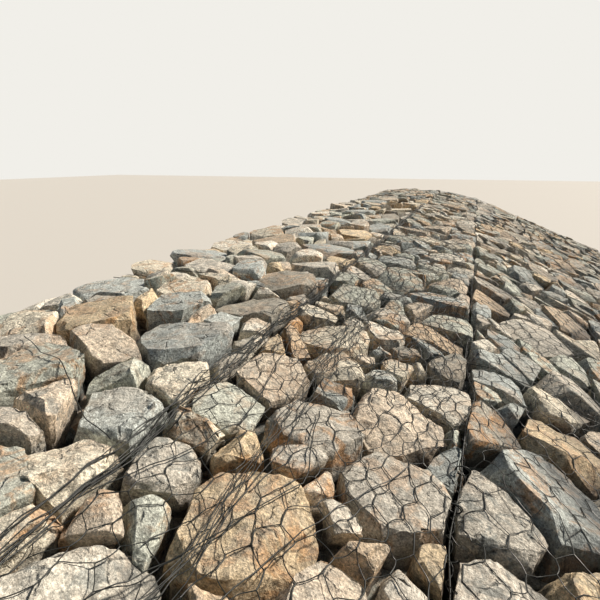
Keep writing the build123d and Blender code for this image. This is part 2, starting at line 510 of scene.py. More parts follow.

# The stones' body colours, each with how often it turns up, how much lighter or darker one may be, and how
# much darker the deeper layer is painted, as shade in the gaps between the top stones
STONE_COLOURS = {
    "cfc7b4": 6, "c3bdb0": 6, "b5b8ac": 7, "cbbda9": 4, "aeb3ae": 4,
    "c7b495": 3, "dad4c5": 4, "a4aaa7": 3, "9f9a8e": 3, "c0ac92": 3,
}
SHADE_SPREAD = (0.82, 1.14)
BELOW_PAINTED_SHADE = 0.5

# The rows whose stones are paler than the others, and by how much
PALER = {"open_row": 1.33, "crest_row": 1.24, "upper_slope_row": 1.22, "middle_slope_row": 1.08}

# The row with broader slabs than the others, and by how much
BROAD_ROW = "upper_slope_row"
BROAD_STONES = 1.25

# How far apart two stones' patterns are, in metres
NUMBER_STEP = 0.37

# Painted shade darkens a stone's flanks: how far behind its open side it starts, and over what depth it grows
PAINTED_SHADE_START = 56 * MM
PAINTED_SHADE_DEPTH = 85 * MM

# Faces of a stone that meet at more than this meet in a sharp edge
SHARP_ANGLE = radians(24)

# A stone still to be cut: its centre, its half width, the open face it lies at, and its top's place and
# normal where the frame gives them
Seed = namedtuple("Seed", "centre radius face slab")


def cut(stone, point, normal):
    """Cut away what lies beyond a plane and close the stone."""
    parts = bmesh.ops.bisect_plane(
        stone, geom=stone.verts[:] + stone.edges[:] + stone.faces[:],
        plane_co=point, plane_no=normal, clear_outer=True)
    rim = [part for part in parts["geom_cut"] if isinstance(part, bmesh.types.BMEdge)]
    if rim:
        bmesh.ops.edgeloop_fill(stone, edges=rim)


def random_direction(rng):
    """A direction with no bias."""
    return Vector((rng.gauss(0, 1), rng.gauss(0, 1), rng.gauss(0, 1))).normalized()


def tilted(normal, angle, rng):
    """A normal leaned over by up to the given angle."""
    return (normal + random_direction(rng) * sin(rng.uniform(0, angle))).normalized()


def aside(outward, rng):
    """A direction with no bias, square to the given one."""
    way = random_direction(rng)
    return (way - outward * way.dot(outward)).normalized()


def reach_of(stone, centre, way):
    """How far a stone reaches from its centre in one direction."""
    return max((vertex.co - centre).dot(way) for vertex in stone.verts)


class Basket:
    """One basket's share of the wall, with its walls as planes."""

    def __init__(self, row, bay):
        near, far = row.spans[bay]
        self.row = row
        self.bay = bay
        self.near_end = bay == 0
        self.far_end = bay == len(row.spans) - 1
        self.low = Vector((row.left, near, 0))
        self.high = Vector((row.right, far, 0))
        self.heaped = row.crowns[bay] > HEAP_LEAST
        self.flat = self.heaped and self.near_end

    def walls(self):
        """The vertical walls as (name, point, exposed)."""
        sides = (
            ("left", self.low, self.row is Wall.rows[0]),
            ("right", self.high, self.row is Wall.rows[-1]),
            ("near", self.low, self.near_end),
            ("far", self.high, self.far_end),
        )
        return [(name, corner - OUTWARD[name] * (FACE_INSET if exposed else 0), exposed)
                for name, corner, exposed in sides]

    def top(self, x):
        """Height of the basket's crowned top at x."""
        return self.row.surface(x, self.bay)


def slab_seeds(basket):
    """The largest stones of a heaped basket, where the frame's fill has them."""
    if not basket.heaped:
        return []
    return [Seed(middle - normal * SLAB_DEPTH, sqrt(area) / 2, "top", (middle, normal))
            for middle, normal, area in basket.row.tops[basket.bay]]


def lay_seeds(basket, seeds, depth_range, sizes, rng):
    """Centres of stones in a shell under the basket's open faces, larger ones first, none too close."""
    low, high = basket.low, basket.high
    faces = ["top"] + [name for name, _, exposed in basket.walls() if exposed]
    for radius, tries in sizes:
        room = radius * SEAM_ROOM
        for face in faces:
            for _ in range(tries if face == "top" else tries * FACE_TRIES):
                depth = rng.uniform(*depth_range)
                x = rng.uniform(low.x + room, high.x - room)
                y = rng.uniform(low.y + room, high.y - room)
                z = basket.top(x) - depth
                if face != "top":
                    x = {"left": low.x + depth, "right": high.x - depth}.get(face, x)
                    y = {"near": low.y + depth, "far": high.y - depth}.get(face, y)
                    z = rng.uniform(radius * GROUND_ROOM, basket.top(x) - depth)
                centre = Vector((x, y, z))
                grown = radius * rng.uniform(*SIZE_SPREAD)
                if all((centre - other.centre).length > (grown + other.radius) * NEAREST for other in seeds):
                    seeds.append(Seed(centre, grown, face, None))
    return seeds


def seam_sway(x, y):
    """How far a seam has been pushed aside by the stones, at a place along it."""
    if x - SNAP < CAD_BOX[0].x or x + SNAP > CAD_BOX[1].x:
        return 0.0
    return noise.noise(Vector((x * SWAY_WAVES[0], y * SWAY_WAVES[1], SWAY_SEED))) * SEAM_SWAY


def cut_joints(stone, seed, seeds, gap, rng):
    """Leave a stone the space that is nearer to its centre than to its neighbours'."""
    centre, radius = seed.centre, seed.radius
    near = sorted(((other.centre - centre).length, other.centre, other.radius)
                  for other in seeds if other.centre is not centre)
    for distance, other, size in near:
        toward = (other - centre) / distance
        share = (distance * distance + radius * radius - size * size) / (2 * distance)
        if share < reach_of(stone, centre, toward):
            flared = (toward + OUTWARD[seed.face] * rng.uniform(*JOINT_FLARE)).normalized()
            foot = centre + toward * (share - gap * rng.uniform(*GAP_SPREAD))
            cut(stone, foot, tilted(flared, JOINT_LEAN, rng))
        if distance > radius * NEIGHBOUR_REACH:
            break


def cut_to_walls(stone, centre, basket, inner, rng):
    """Keep a stone between its basket's walls, each side with its own lean, and above the ground."""
    for name, point, exposed in basket.walls():
        normal = OUTWARD[name]
        if exposed:
            set_back = rng.uniform(*(INNER_SET_BACK if inner else FACE_STRAY))
            furthest = point
        else:
            set_back = rng.uniform(*(SEAM_STRAY_FAR if rng.random() < FAR_SHARE else SEAM_STRAY))
            set_back -= seam_sway(point.x, centre.y) * normal.x
            furthest = point + normal * (SEAM_REACH - set_back)
        foot = centre + normal * ((point - centre).dot(normal) - set_back)
        cut(stone, foot, tilted(normal, WALL_LEAN if exposed else SEAM_LEAN, rng))
        cut(stone, furthest, normal)
    cut(stone, Vector((0, 0, 0)), DOWN)


def cut_top(stone, seed, basket, inner, rng):
    """Give a stone its top under the basket's crowned one, and a stone of the top layer its underside."""
    crest = Vector((seed.centre.x, seed.centre.y, basket.top(seed.centre.x)))
    if seed.slab:
        cut(stone, *seed.slab)
    elif inner:
        foot = crest - UP * rng.uniform(*INNER_DROP)
        cut(stone, foot, tilted(basket.row.normal, INNER_LEAN, rng))
    else:
        drop = rng.uniform(*(FLAT_DROP if basket.flat else HEAP_DROP if basket.heaped else LID_DROP))
        upward = tilted(basket.row.normal, FLAT_LEAN if basket.flat else LID_LEAN, rng)
        cut(stone, crest - UP * drop, upward)
        if rng.random() < (FLAT_RIDGE_SHARE if basket.flat else RIDGE_SHARE):
            drop += rng.uniform(*RIDGE_DROP)
            ridge = (upward + aside(upward, rng) * rng.uniform(*RIDGE_LEAN)).normalized()
            cut(stone, crest - UP * drop, ridge)
    if seed.face == "top" and not inner:
        foot = crest - UP * rng.uniform(*SKIN_THICKNESS)
        cut(stone, foot, tilted(DOWN, UNDER_LEAN, rng))


def strike_chips(stone, seed, basket, inner, rng):
    """Strike chips off a stone's rim and flanks."""
    outward = OUTWARD[seed.face]
    rim_reach = SLAB_RIM_REACH if seed.slab and basket.flat else RIM_REACH
    for chip in range(INNER_CHIPS if inner else rng.randint(*CHIPS)):
        rim = chip % CHIP_ROUND < RIM_CHIPS
        way = (aside(outward, rng) + outward * (rng.uniform(*RIM_RISE) if rim else FLANK_RISE)).normalized()
        reach = reach_of(stone, seed.centre, way)
        share = rng.uniform(*(rim_reach if rim else FLANK_REACH))
        cut(stone, seed.centre + way * reach * share, way)


def shape_stone(seed, seeds, basket, gap, rng, inner):
    """One stone, cut from a block until it fits between its neighbours and its basket's walls, or None."""
    centre = seed.centre
    stone = bmesh.new()
    size = 2 * (seed.radius * BLOCK_REACH)
    bmesh.ops.create_cube(stone, size=size, matrix=Matrix.Translation(centre))
    cut_joints(stone, seed, seeds, gap, rng)
    cut_to_walls(stone, centre, basket, inner, rng)
    cut_top(stone, seed, basket, inner, rng)
    if len(stone.verts) < LEAST_CORNERS:
        stone.free()
        return None
    strike_chips(stone, seed, basket, inner, rng)
    if seed.face == "top" and not inner and not seed.slab:
        turn = Matrix.Rotation(rng.uniform(-TURN, TURN), 3, random_direction(rng))
        for vertex in stone.verts:
            vertex.co = centre + turn @ (vertex.co - centre)
        for name, point, exposed in basket.walls():
            if exposed:
                cut(stone, point, OUTWARD[name])
    cut(stone, Vector((0, 0, CAD_BOX[1].z - 2 * SNAP)), UP)
    return stone


def roughen(stone, length):
    """Divide a stone until its edges are short and push its skin in and out like a broken face."""
    bmesh.ops.triangulate(stone, faces=stone.faces[:])
    for _ in range(SKIN_PASSES):
        long_edges = [edge for edge in stone.edges if edge.calc_length() > length]
        if not long_edges:
            break
        bmesh.ops.subdivide_edges(stone, edges=long_edges, cuts=1)
        bmesh.ops.triangulate(stone, faces=[face for face in stone.faces if len(face.verts) > 3])
    stone.normal_update()
    moved = {}
    for vertex in stone.verts:
        broad = noise.noise(vertex.co * BROAD_WAVES[0]) * BROAD_WAVES[1]
        ledge = abs(noise.noise(vertex.co * LEDGE_WAVES[0] + LEDGE_PLACE)) * LEDGE_WAVES[1]
        fine = noise.noise(vertex.co * FINE_WAVES[0]) * FINE_WAVES[1]
        moved[vertex] = vertex.normal * SKIN_HEIGHT * (broad - ledge + fine)
    for vertex, shift in moved.items():
        vertex.co += shift


def wear(stone, seed, eye, worn_edge, rng):
    """Blunt a stone's edges and roughen its faces, the more the nearer it lies to the camera."""
    distance = (seed.centre - eye).length
    if distance < BLUNT_RANGE:
        bmesh.ops.bevel(stone, geom=stone.edges[:], offset=worn_edge * rng.uniform(*WORN_SPREAD),
                        segments=1, profile=0.5, affect="EDGES", clamp_overlap=True)
    if distance < CLOSE_RANGE and seed.face == "top":
        roughen(stone, FINE_SKIN_EDGE if distance < FINE_RANGE else SKIN_EDGE)


def kept_in(point, margin):
    """A point brought inside the wall's outer box by the given margin, and no lower than its floor."""
    low, high = CAD_BOX
    least = (low.x + margin, low.y + margin, 0)
    return Vector([min(max(value, start), end - margin) for value, start, end in zip(point, least, high)])


class StoneHeap:
    """Collects stones into one mesh, with each stone's tint and number."""

    def __init__(self):
        self.points = []
        self.faces = []
        self.tints = []
        self.painted_shades = []
        self.numbers = []

    def add(self, stone, tint, number, outward):
        """Add a stone, with painted shade on its flanks that grows the deeper they lie behind its open side.
        """
        start = len(self.points)
        front = max(vertex.co.dot(outward) for vertex in stone.verts)
        for index, vertex in enumerate(stone.verts):
            vertex.index = index
            # The deeper a point lies behind the stone's open side, the more painted shade it gets
            sunk = (front - vertex.co.dot(outward) - PAINTED_SHADE_START) / PAINTED_SHADE_DEPTH
            self.points.append(kept_in(vertex.co, SNAP))
            self.painted_shades.append(min(1.0, max(0.0, sunk)))
            self.tints.append(tint)
            self.numbers.append(number)
        for face in stone.faces:
            self.faces.append([start + vertex.index for vertex in face.verts])
        stone.free()

    def mesh(self, name):
        """The collected stones as a mesh with sharp arrises."""
        mesh = bpy.data.meshes.new(name)
        mesh.from_pydata(self.points, [], self.faces)
        tint = mesh.attributes.new("stone_tint", "FLOAT_COLOR", "POINT")
        tint.data.foreach_set("color", [value for row in self.tints for value in (*row, 1.0)])
        # Stone numbers, and the painted shade on the flanks
        for attribute, values in (("stone_number", self.numbers), ("stone_painted_shade", self.painted_shades)):
            mesh.attributes.new(attribute, "FLOAT", "POINT").data.foreach_set("value", values)
        mesh.shade_smooth()
        mesh.set_sharp_from_angle(angle=SHARP_ANGLE)
        return mesh


def place_piece(mesh, material, replaced=()):
    """Put a finished mesh in the scene as a piece that rides on the wall."""
    mesh.materials.clear()
    mesh.materials.append(material)
    piece = bpy.data.objects.new(mesh.name, mesh)
    bpy.context.scene.collection.objects.link(piece)
    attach(piece, BODY)
    if replaced:
        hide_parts(*replaced)


def pick_tint(rng, tone_and_painted_shade):
    """A stone's body colour, lighter or darker by a little and by its row; the deeper layer's is darkened as
    painted shade.
    """
    shade = rng.uniform(*SHADE_SPREAD) * tone_and_painted_shade
    picked = rng.choices(list(STONE_COLOURS), list(STONE_COLOURS.values()))[0]
    return [channel * shade for channel in linear(picked)]


def eye_place(stage):
    """Where the camera stands."""
    seam = Wall.rows[1].right
    return Vector((seam - stage.eye_offset, CAD_BOX[0].y - stage.eye_back,
                   Wall.rows[0].left_height + stage.eye_height))


class GABION_OT_stones(bpy.types.Operator):
    """Lay the broken stones of every row, with those under them"""

    bl_idname = "gabion.stones"
    bl_label = "Stones"

    def execute(self, context):
        settings = context.scene.gabion_stones
        eye = eye_place(context.scene.gabion_stage)
        under = StoneHeap()
        number = 0
        for row_number, row in enumerate(Wall.rows):
            heap = StoneHeap()
            large = settings.large * (BROAD_STONES if row.name == BROAD_ROW else 1.0)
            widths = (large, settings.middling, settings.small)
            skin_sizes = [(width / 2, tries) for width, tries in zip(widths, SKIN_TRIES)]
            for bay in range(len(row.spans)):
                rng = Random(settings.seed * 1000 + row_number * 10 + bay)
                basket = Basket(row, bay)
                skin = lay_seeds(basket, slab_seeds(basket), SKIN_DEPTH, skin_sizes, rng)
                deeper = lay_seeds(basket, [], INNER_DEPTH, [(settings.large / 2, INNER_TRIES)], rng)
                for seeds, inner in ((skin, False), (deeper, True)):
                    for seed in seeds:
                        number += 1
                        stone = shape_stone(seed, seeds, basket, settings.gap, rng, inner)
                        if stone is None:
                            continue
                        if not inner:
                            wear(stone, seed, eye, settings.worn_edge, rng)
                        # The deeper layer's tint is darkened, as painted shade in the gaps between the top
                        # stones
                        tint = pick_tint(rng, BELOW_PAINTED_SHADE if inner else PALER.get(row.name, 1.0))
                        into = under if inner else heap
                        into.add(stone, tint, number * NUMBER_STEP, OUTWARD[seed.face])
            mesh = heap.mesh(row.name + "_stones")
            Wall.top_meshes.append(mesh)
            place_piece(mesh, Materials.stone, row.fills)
        place_piece(under.mesh("stones_below"), Materials.stone)
        return {"FINISHED"}


# Netting

# Room kept between a wire's middle and the outside of the wall, and between an upright net and its face
WIRE_MARGIN = 4 * MM
FACE_NET_INSET = 3 * MM

# A wire's middle above what it rests on, as a share of its diameter, and how much thicker a twist is
NET_REST = 0.6
TWIST_THICKNESS = 1.5

# The step of the grid on which a lid's height is worked out
DRAPE_STEP = 20 * MM

# A lid wanders over its stones in wide and in narrow bends: their length and how far they go. It starts to
# this far in from its edges, and is lifted by up to this
WIDE_BEND = (330 * MM, 40 * MM)
NARROW_BEND = (70 * MM, 18 * MM)
EDGE_HELD = 80 * MM
LID_LIFT = 6 * MM

# Numbers that give each layer of a net, and each kind of bend, a course of its own
LAYER_COURSE = 11
NARROW_COURSE = 2
COURSE_STEP = 3.7
SECOND_PLACE = Vector((31.4, 17.2, 5.1))

# A lid's edges stay in from the seams and are drawn down into them, that deep and over that width
LID_INSET = 5 * MM
SEAM_DIP = 30 * MM
SEAM_DIP_WIDTH = 35 * MM

# The fold beside the lid's free edge: its place, its length, how far it draws the net in and from how far,
# and over what length it ends
FOLD_OFFSET = 330 * MM
FOLD_LENGTH = 2.6
FOLD_DRAW = 0.62
FOLD_PULL = 130 * MM
FOLD_END = 500 * MM

# Where the newly laid lid laps over itself: from its near end, in from its edges, how much more it is
# bunched, and how far it stands off
LAP_REACH = (1.3, 5.6)
LAP_INSET = 70 * MM
LAP_GATHER = 0.85
LAP_LIFT = 7 * MM

# How finely a lid's wires bend: up to which distance from the camera, in how many pieces a plain wire and
# in how many a twist, and how far the lids lie below the camera
LID_PIECES = ((1.9, 7, 4), (3.2, 4, 3), (inf, 2, 1))
LID_BELOW_EYE = 0.8

# How far the open row's outer edge wire has sagged, and the others
OPEN_SAG = 45 * MM
EDGE_SAG = 10 * MM

# An edge wire's bends along a seam, the pieces it is made in and how far it may rise above the seams' line
SEAM_BEND = (250 * MM, 12 * MM)
SEAM_COURSE = 3
SEAM_STEP = 60 * MM
SEAM_RISE = 10 * MM

# The rows whose left seam is laced in view, and the lacing's radius, pitch, points to a turn and thickness
LACED_ROWS = (1, 2)
LACING_RADIUS = 9 * MM
LACING_PITCH = 75 * MM
LACING_POINTS = 7
LACING_WIRE = 0.9

# A cross wire's sway, and its height against the net
CROSS_SWAY = 6 * MM
CROSS_LIFT = -8 * MM

# A loose wire's slow and quick bends, as their length and their share of its sway, how much of its sway
# lifts it, the least it stands off the stones, and how soon after its ends it sways in full
SLOW_BEND = (260 * MM, 1.6)
QUICK_BEND = (90 * MM, 0.5)
SLOW_COURSE = 1.3
QUICK_COURSE = 2.9
QUICK_NEXT = 9
SWAY_LIFT = 0.4
LEAST_REST = 3 * MM
SWAY_SOON = 8
LOOSE_STEP = 45 * MM

# The bundled free edge, its turn across the open row, and the fold: strands, spread, sway and lift
BUNDLE_STRANDS = 9
EDGE_SPREAD = 20 * MM
EDGE_SWAY = 24 * MM
EDGE_LIFT = (-4 * MM, 16 * MM)
NEAR_SPREAD = 1.6
TURNED_SPREAD = 14 * MM
TURNED_SWAY = 14 * MM
TURNED_LIFT = (2 * MM, 10 * MM)
FOLD_STRANDS = 5
FOLD_SPREAD = 22 * MM
FOLD_SWAY = 24 * MM
FOLD_LIFT = (2 * MM, 16 * MM)
FOLD_REACH = (0.6, 1.0)
BUNDLE_WIRE = 0.8

# Numbers that keep the courses of the edge's strands, of its turn's and of the fold's apart
EDGE_COURSE = 20
TURNED_COURSE = 40
FOLD_COURSE = 60

# Loose wires and lacing rings, by their places from the camera's foot: to the right and ahead, in metres
LOOSE_ROUTES = (
    ((-0.86, 0.81), (-1.56, 1.13)),
    ((-0.80, 0.62), (-0.62, 1.10), (-0.70, 1.75)),
    ((-0.62, 0.42), (-0.35, 0.95), (-0.42, 1.30)),
    ((-0.45, 0.40), (-0.30, 0.80), (-0.10, 1.20)),
)
LOOSE_SWAY = 14 * MM
LOOSE_LIFT = 10 * MM
LOOSE_FINE_STEP = 20 * MM
RING_PLACES = (1.14, 1.31)
RING_RADII = (24 * MM, 21 * MM)
RING_LEANS = (Vector((0, 1, 0.35)), Vector((0.25, 1, 0.35)))
RING_POINTS = 14
RING_LIFT = 4 * MM


class Drape:
    """The height at which a net lies over the stones, on a grid seen from above."""

    def __init__(self, meshes, bridge):
        points = []
        faces = []
        for mesh in meshes:
            start = len(points)
            points.extend(vertex.co.copy() for vertex in mesh.vertices)
            faces.extend([start + index for index in face.vertices] for face in mesh.polygons)
        self.tree = BVHTree.FromPolygons(points, faces)
        low, high = CAD_BOX
        self.low = low
        columns = int((high.x - low.x) / DRAPE_STEP) + 1
        lines = int((high.y - low.y) / DRAPE_STEP) + 1
        heights = np.zeros((columns, lines))
        for i in range(columns):
            for j in range(lines):
                heights[i, j] = self.resting(low.x + i * DRAPE_STEP, low.y + j * DRAPE_STEP)
        self.net = self.spanned(heights, max(1, round(bridge / DRAPE_STEP)))

    @staticmethod
    def spread(heights, reach, pick):
        """Each point takes the highest or lowest of the points within reach, along X and then along Y."""
        for axis in (0, 1):
            best = heights.copy()
            for shift in range(1, reach + 1):
                for way in (shift, -shift):
                    moved = np.roll(heights, way, axis)
                    edge = [slice(None), slice(None)]
                    edge[axis] = slice(0, way) if way > 0 else slice(way, None)
                    moved[tuple(edge)] = heights[tuple(edge)]
                    best = pick(best, moved)
            heights = best
        return heights

    def spanned(self, heights, reach):
        """Bridge the hollows that are narrower than twice the reach, then ease the corners."""
        closed = self.spread(self.spread(heights, reach, np.maximum), reach, np.minimum)
        eased = closed.copy()
        eased[1:-1, 1:-1] = (closed[1:-1, 1:-1] * 4 + closed[:-2, 1:-1] + closed[2:, 1:-1]
                             + closed[1:-1, :-2] + closed[1:-1, 2:]) / 8
        return np.maximum(eased, heights)

    def resting(self, x, y):
        """The height of the stone right under a point."""
        hit = self.tree.ray_cast(Vector((x, y, CAD_BOX[1].z + 1)), DOWN)[0]
        return hit.z if hit is not None else 0.0

    def height(self, x, y):
        """The net's height at a point, where it spans the hollows between the stones."""
        net = self.net
        i = min(max((x - self.low.x) / DRAPE_STEP, 0), net.shape[0] - 1.001)
        j = min(max((y - self.low.y) / DRAPE_STEP, 0), net.shape[1] - 1.001)
        a, b = int(i), int(j)
        s, t = i - a, j - b
        return ((net[a, b] * (1 - s) + net[a + 1, b] * s) * (1 - t)
                + (net[a, b + 1] * (1 - s) + net[a + 1, b + 1] * s) * t)


def between(start, end, share):
    """The place at a share of the way from one place in a plane to another."""
    return tuple(start[axis] + (end[axis] - start[axis]) * share for axis in (0, 1))


def clipped(start, end, low, high):
    """A straight wire's part within a rectangle, or None."""
    enter, leave = 0.0, 1.0
    for axis in (0, 1):
        run = end[axis] - start[axis]
        if abs(run) < 1e-9:
            if not low[axis] <= start[axis] <= high[axis]:
                return None
            continue
        near, far = sorted(((low[axis] - start[axis]) / run, (high[axis] - start[axis]) / run))
        enter, leave = max(enter, near), min(leave, far)
    if leave - enter < 1e-6:
        return None
    return between(start, end, enter), between(start, end, leave)


def net_wires(low, high, net, gather=1.0):
    """The straight wires of a net in a rectangle: (start, end, twisted), twists along the second axis."""
    pitch = (net.mesh_height + net.twist_length) / 2
    width = net.mesh_width * gather
    half = width / 2
    wires = []
    for line in range(-1, int((high[1] - low[1]) / pitch) + 2):
        for column in range(-1, int((high[0] - low[0]) / width) + 2):
            x = low[0] + column * width + (half if line % 2 else 0)
            y = low[1] + line * pitch
            shoulder = y + net.twist_length / 2
            tip = y + net.mesh_height / 2
            for start, end, twisted in (
                ((x + half, y - net.twist_length / 2), (x + half, shoulder), True),
                ((x - half, shoulder), (x, tip), False),
                ((x, tip), (x + half, shoulder), False),
            ):
                kept = clipped(start, end, low, high)
                if kept:
                    wires.append((*kept, twisted))
    return wires


class WireWork:
    """Collects bent wires as chains of points, to be drawn in one thickness."""

    def __init__(self):
        self.points = []
        self.edges = []

    def run(self, path):
        """Add a wire along a path, kept inside the wall's outer box."""
        start = len(self.points)
        for point in path:
            self.points.append(kept_in((point.x, point.y, max(point.z, WIRE_MARGIN)), WIRE_MARGIN))
        self.edges.extend((start + i, start + i + 1) for i in range(len(path) - 1))

    def mesh(self, name, diameter, sides, capped=True):
        """The chains as tubes of the given thickness, by the wire tree."""
        mesh = bpy.data.meshes.new(name + "_path")
        mesh.from_pydata(self.points, self.edges, [])
        holder = bpy.data.objects.new(name + "_path", mesh)
        bpy.context.scene.collection.objects.link(holder)
        modifier = holder.modifiers.new("Wire", "NODES")
        modifier.node_group = wire_tree()
        given = {"Diameter": diameter, "Sides": sides, "Capped": capped, "Material": Materials.wire}
        for item in modifier.node_group.interface.items_tree:
            if item.in_out == "INPUT" and item.name in given:
                modifier[item.identifier] = given[item.name]
        graph = bpy.context.evaluated_depsgraph_get()
        made = bpy.data.meshes.new_from_object(holder.evaluated_get(graph))
        made.name = name
        holder.modifiers.remove(modifier)
        bpy.data.objects.remove(holder)
        bpy.data.meshes.remove(mesh)
        return made

    def piece(self, name, diameter, sides, slot_name, replaced=(), capped=True):
        """The chains as a piece of the scene."""
        place_piece(self.mesh(name, diameter, sides, capped), Materials.wire, replaced)


def wire_tree():
    """The node tree that turns chains of edges into round wire."""
    tree = bpy.data.node_groups.get("Round wire")
    if tree:
        return tree
    tree = bpy.data.node_groups.new("Round wire", "GeometryNodeTree")
    for name, kind in (("Geometry", "Geometry"), ("Diameter", "Float"), ("Sides", "Int"), ("Capped", "Bool"),
                       ("Material", "Material")):
        tree.interface.new_socket(name=name, in_out="INPUT", socket_type="NodeSocket" + kind)
    tree.interface.new_socket(name="Geometry", in_out="OUTPUT", socket_type="NodeSocketGeometry")
    given = add_node(tree, "NodeGroupInput").outputs
    curve = add_node(tree, "GeometryNodeMeshToCurve", {"Mesh": given["Geometry"]})
    radius = add_node(tree, MATH, {0: given["Diameter"], 1: 0.5}, operation="MULTIPLY")
    ring = add_node(tree, "GeometryNodeCurvePrimitiveCircle",
                    {"Resolution": given["Sides"], "Radius": radius})
    tube = add_node(tree, "GeometryNodeCurveToMesh",
                    {"Curve": curve, "Profile Curve": ring, "Fill Caps": given["Capped"]})
    smooth = add_node(tree, "GeometryNodeSetShadeSmooth", {"Geometry": tube})
    real = add_node(tree, "GeometryNodeRealizeInstances", {"Geometry": smooth})
    dressed = add_node(tree, "GeometryNodeSetMaterial", {"Geometry": real, "Material": given["Material"]})
    add_node(tree, "NodeGroupOutput", {"Geometry": dressed})
    return tree


def join_meshes(name, meshes):
    """Several meshes as one."""
    joined = bmesh.new()
    for mesh in meshes:
        joined.from_mesh(mesh)
        bpy.data.meshes.remove(mesh)
    result = bpy.data.meshes.new(name)
    joined.to_mesh(result)
    joined.free()
    result.shade_smooth()
    return result


def wander(x, y, scale, course):
    """A smooth random shift of a wire, from -1 to 1 along each axis."""
    place = Vector((x / scale, y / scale, course * COURSE_STEP))
    return noise.noise(place), noise.noise(place + SECOND_PLACE)


def lid_point(x, y, net, low, high, layer):
    """Where a point of a flat lid comes to lie on the stones, its edges drawn down into the seams."""
    margin = min(x - low[0], high[0] - x, y - low[1], high[1] - y)
    loose = min(1.0, max(0.0, margin / EDGE_HELD))
    course = net.seed + layer * LAYER_COURSE
    wide = wander(x, y, WIDE_BEND[0], course)
    narrow = wander(x, y, NARROW_BEND[0], course + NARROW_COURSE)
    moved_x = x + loose * (wide[0] * WIDE_BEND[1] + narrow[0] * NARROW_BEND[1])
    moved_y = y + loose * (wide[1] * WIDE_BEND[1] + narrow[1] * NARROW_BEND[1])
    fold = Wall.rows[0].right + FOLD_OFFSET
    if low[0] < fold < high[0]:
        held = min(1.0, max(0.0, (CAD_BOX[0].y + FOLD_LENGTH - y) / FOLD_END))
        beside = (moved_x - fold) / FOLD_PULL
        moved_x += (fold - moved_x) * FOLD_DRAW * held * exp(-beside * beside)
    lift = abs(narrow[1]) * LID_LIFT * loose + layer * LAP_LIFT
    near_seam = min(x - low[0], high[0] - x) / SEAM_DIP_WIDTH
    dip = SEAM_DIP * exp(-near_seam * near_seam)
    height = max(Wall.drape.height(moved_x, moved_y) - dip, Wall.drape.resting(moved_x, moved_y))
    return Vector((moved_x, moved_y, height + net.wire * NET_REST + lift))


def lid_mesh(name, low, high, net, eye, gather=1.0, layer=0):
    """A lid's netting draped over the stones: plain wires and twists."""
    plain, twists = WireWork(), WireWork()
    for start, end, twisted in net_wires(low, high, net, gather):
        middle = Vector(((start[0] + end[0]) / 2, (start[1] + end[1]) / 2, eye.z - LID_BELOW_EYE))
        away = (middle - eye).length
        count = next(pieces[twisted] for reach, *pieces in LID_PIECES if away < reach)
        path = [lid_point(*between(start, end, k / count), net, low, high, layer) for k in range(count + 1)]
        (twists if twisted else plain).run(path)
    return join_meshes(name, [plain.mesh(name + "_plain", net.wire, 3, False),
                              twists.mesh(name + "_twist", net.wire * TWIST_THICKNESS, 4, False)])


class GABION_OT_lids(bpy.types.Operator):
    """Drape the lids' netting over the lidded rows"""

    bl_idname = "gabion.lids"
    bl_label = "Lid netting"

    def execute(self, context):
        net = context.scene.gabion_net
        eye = eye_place(context.scene.gabion_stage)
        Wall.drape = Drape(Wall.top_meshes, net.bridge)
        newly_laid = Wall.rows[1]
        for row in Wall.rows:
            spans = [span for span, crown in zip(row.spans, row.crowns) if crown < HEAP_LEAST]
            low = (row.left + LID_INSET, spans[0][0])
            high = (row.right - LID_INSET, spans[-1][1])
            gather = net.gather if row is newly_laid else 1.0
            mesh = lid_mesh(row.name + "_lid_net", low, high, net, eye, gather)
            place_piece(mesh, Materials.wire)
        low = (newly_laid.left + LAP_INSET, CAD_BOX[0].y + LAP_REACH[0])
        high = (newly_laid.right - LAP_INSET, CAD_BOX[0].y + LAP_REACH[1])
        mesh = lid_mesh("lapped_net", low, high, net, eye, net.gather * LAP_GATHER, 1)
        place_piece(mesh, Materials.wire)
        return {"FINISHED"}


class GABION_OT_face_nets(bpy.types.Operator):
    """Stretch the netting over the back, the toe and both ends"""

    bl_idname = "gabion.face_nets"
    bl_label = "Face netting"

    def execute(self, context):
        net = context.scene.gabion_net
        low, high = CAD_BOX
        near, far = WireWork(), WireWork()
        for row in Wall.rows:
            for start, end, _ in net_wires((row.left, WIRE_MARGIN), (row.right, row.left_height), net):
                if start[1] > row.chord(start[0]) and end[1] > row.chord(end[0]):
                    continue
                path = [(x, min(z, row.chord(x))) for x, z in (start, end)]
                for work, y in ((near, low.y + FACE_NET_INSET), (far, high.y - FACE_NET_INSET)):
                    work.run([Vector((x, y, z)) for x, z in path])
        ends = [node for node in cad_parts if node.endswith("_end_net")]
        near.piece("near_end_net", net.wire, 3, "net_wire", ends, capped=False)
        far.piece("far_end_net", net.wire, 3, "net_wire", capped=False)
        back_height = Wall.rows[0].left_height - OPEN_SAG
        toe_height = Wall.rows[-1].right_height
        for name, x, height in (("back_net", low.x + FACE_NET_INSET, back_height),
                                ("toe_net", high.x - FACE_NET_INSET, toe_height)):
            work = WireWork()
            for start, end, _ in net_wires((low.y, WIRE_MARGIN), (high.y, height), net):
                work.run([Vector((x, y, z)) for y, z in (start, end)])
            work.piece(name, net.wire, 3, "net_wire", capped=False)
        return {"FINISHED"}


